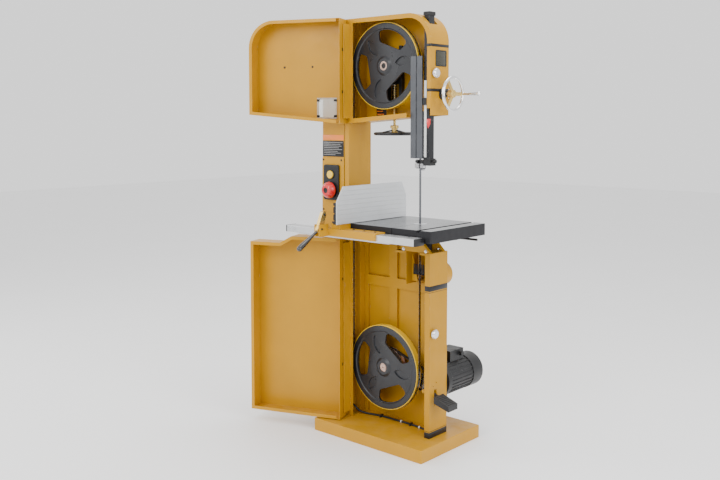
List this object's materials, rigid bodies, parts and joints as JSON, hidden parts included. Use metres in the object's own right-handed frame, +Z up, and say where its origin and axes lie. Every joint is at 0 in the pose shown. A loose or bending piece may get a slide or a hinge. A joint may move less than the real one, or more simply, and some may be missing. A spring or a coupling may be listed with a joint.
{
  "type": "band saw",
  "caption": "Vertical floor-standing band saw with opening doors, two band wheels, tilting table, sliding fence, rising blade guide and foot pedal.",
  "frame": {"origin": "centre of the underside of the plinth, on the floor", "axes": "+Z up along the column, +X to the operator's right, -Y towards the operator"},
  "size_m": [1.0378, 0.7862, 1.868],
  "materials": {
    "mustard_paint": "satin powder coat",
    "dark_casting": "painted casting",
    "black_wheel_casting": "painted casting",
    "yellow_urethane": "smooth urethane",
    "black_plastic": "moulded",
    "black_paint": "satin",
    "ground_iron": "ground",
    "steel": "machined",
    "blade_steel": "rolled",
    "bright_chrome": "polished",
    "brass_plate": "yellow zinc",
    "rail_aluminium": "anodised",
    "belt_rubber": "ribbed",
    "red_plastic": "gloss",
    "yellow_button": "gloss",
    "clear_plastic": "clear"
  },
  "bodies": {
    "frame": {"plinth": "mustard_paint", "spine_column": "mustard_paint", "upper_housing": "mustard_paint", "lower_cabinet": "mustard_paint", "blade_return_cover": "mustard_paint", "dust_chute": "mustard_paint", "dust_port": "mustard_paint", "control_panel": "mustard_paint", "switch_box": "black_plastic", "lower_shaft_housing": "dark_casting", "lower_bearings": "steel", "motor_body": "black_paint", "tension_slide_rails": "black_paint", "tension_spring": "steel", "trunnion_cradles": "mustard_paint", "lower_guide_body": "black_paint", "lower_guide_rollers": "steel", "guide_post_bracket": "black_paint", "switch_cable": "black_plastic", "cable_fittings": "black_plastic", "saw_blade": "blade_steel", "drive_belt": "belt_rubber"},
    "start_key": {"start_button": "yellow_button"},
    "stop_key": {"stop_button": "red_plastic"},
    "lower_band_wheel": {"lower_wheel": "black_wheel_casting", "lower_tyre": "yellow_urethane", "lower_wheel_spindle": "steel"},
    "rotor": {"motor_rotor": "steel"},
    "carriage": {"tension_carriage": "dark_casting", "tracking_knob": "black_plastic"},
    "upper_axle": {"upper_axle_bracket": "dark_casting"},
    "upper_band_wheel": {"upper_wheel": "black_wheel_casting", "upper_tyre": "yellow_urethane", "upper_hub_bearing": "steel"},
    "tension_wheel": {"tension_handwheel": "black_paint", "tension_screw": "brass_plate"},
    "upper_guide": {"guide_post": "steel", "guide_post_cap": "black_plastic", "blade_guard": "dark_casting", "upper_guide_body": "rail_aluminium", "upper_guide_rollers": "steel"},
    "guide_crank": {"pinion_shaft": "steel", "guide_handwheel_rim": "bright_chrome", "guide_handwheel_hub": "brass_plate"},
    "work_table": {"table": "ground_iron", "table_insert": "rail_aluminium", "table_trunnions": "black_paint", "fence_rail": "rail_aluminium"},
    "rip_fence": {"fence_head": "mustard_paint", "fence_extrusion": "black_paint", "fence_face": "rail_aluminium"},
    "fence_clamp": {"fence_lever": "brass_plate", "fence_lever_grip": "black_plastic"},
    "tilt_clamp": {"tilt_lock_lever": "black_plastic"},
    "top_door": {"upper_door": "mustard_paint", "door_window": "clear_plastic"},
    "bottom_door": {"lower_door": "mustard_paint"},
    "top_latch": {"upper_door_latch": "bright_chrome"},
    "bottom_latch": {"lower_door_latch": "bright_chrome"},
    "pedal": {"brake_pedal": "black_paint"}
  },
  "joints": [
    {"name": "lower_wheel_spin", "type": "hinge", "parent": "frame", "child": "lower_band_wheel", "pos_m": [-0.034, -0.033, 0.306], "axis": [0, 1, 0], "continuous": true},
    {"name": "motor_spin", "type": "hinge", "parent": "frame", "child": "rotor", "pos_m": [0.18, 0, 0.27], "axis": [0, 1, 0], "continuous": true},
    {"name": "tension_slide", "type": "slide", "parent": "frame", "child": "carriage", "axis": [0, 0, 1], "range_m": [-0.015, 0], "deforming": ["tension_spring"]},
    {"name": "tension_wheel_turn", "type": "hinge", "parent": "frame", "child": "tension_wheel", "pos_m": [-0.034, 0.027, 1.352], "axis": [0, 0, 1], "range_deg": [-1, 1085]},
    {"name": "tracking_tilt", "type": "hinge", "parent": "carriage", "child": "upper_axle", "pos_m": [-0.034, 0.008, 1.65053], "axis": [1, 0, 0], "range_deg": [-0.9, 0.9]},
    {"name": "upper_wheel_spin", "type": "hinge", "parent": "upper_axle", "child": "upper_band_wheel", "pos_m": [-0.034, -0.033, 1.65053], "axis": [0, 1, 0], "continuous": true},
    {"name": "guide_post_slide", "type": "slide", "parent": "frame", "child": "upper_guide", "axis": [0, 0, 1], "range_m": [-0.22, 0.105]},
    {"name": "guide_handwheel_turn", "type": "hinge", "parent": "frame", "child": "guide_crank", "pos_m": [0.25, -0.001, 1.523], "axis": [1, 0, 0], "range_deg": [-605, 1265]},
    {"name": "table_tilt", "type": "hinge", "parent": "frame", "child": "work_table", "pos_m": [0.158, 0, 0.968], "axis": [0, 1, 0], "range_deg": [0, 45]},
    {"name": "fence_slide", "type": "slide", "parent": "work_table", "child": "rip_fence", "axis": [-1, 0, 0], "range_m": [-0.183, 0.085]},
    {"name": "fence_lock", "type": "hinge", "parent": "rip_fence", "child": "fence_clamp", "pos_m": [-0.15, -0.338, 0.948], "axis": [-1, 0, 0], "range_deg": [0, 45]},
    {"name": "tilt_lock", "type": "hinge", "parent": "work_table", "child": "tilt_clamp", "pos_m": [0.246, 0.118, 0.9], "axis": [0, 1, 0], "range_deg": [0, 25]},
    {"name": "upper_door_hinge", "type": "hinge", "parent": "frame", "child": "top_door", "pos_m": [-0.204, -0.124, 1.63], "axis": [0, 0, 1], "range_deg": [0, 159]},
    {"name": "lower_door_hinge", "type": "hinge", "parent": "frame", "child": "bottom_door", "pos_m": [-0.204, -0.124, 0.47], "axis": [0, 0, 1], "range_deg": [0, 159]},
    {"name": "upper_latch_turn", "type": "hinge", "parent": "frame", "child": "top_latch", "pos_m": [0.249, -0.058, 1.609], "axis": [1, 0, 0], "range_deg": [0, 90]},
    {"name": "lower_latch_turn", "type": "hinge", "parent": "frame", "child": "bottom_latch", "pos_m": [0.249, -0.058, 0.507], "axis": [1, 0, 0], "range_deg": [0, 90]},
    {"name": "pedal_press", "type": "hinge", "parent": "frame", "child": "pedal", "pos_m": [0.196, -0.038, 0.246], "axis": [0, 1, 0], "range_deg": [0, 8], "stiffness_Nm_per_rad": 30, "springref_deg": -8.59},
    {"name": "start_press", "type": "slide", "parent": "frame", "child": "start_key", "axis": [0, 1, 0], "range_m": [0, 0.003], "stiffness_N_per_m": 500, "springref_m": -0.002},
    {"name": "stop_press", "type": "slide", "parent": "frame", "child": "stop_key", "axis": [0, 1, 0], "range_m": [0, 0.004], "stiffness_N_per_m": 500, "springref_m": -0.002}
  ],
  "couplings": [
    {"joint": "motor_spin", "follows": "lower_wheel_spin", "ratio": 1.875},
    {"joint": "upper_wheel_spin", "follows": "lower_wheel_spin", "ratio": 1},
    {"joint": "tension_wheel_turn", "follows": "tension_slide", "rad_per_m": -1256.6},
    {"joint": "guide_handwheel_turn", "follows": "guide_post_slide", "rad_per_m": -100}
  ]
}
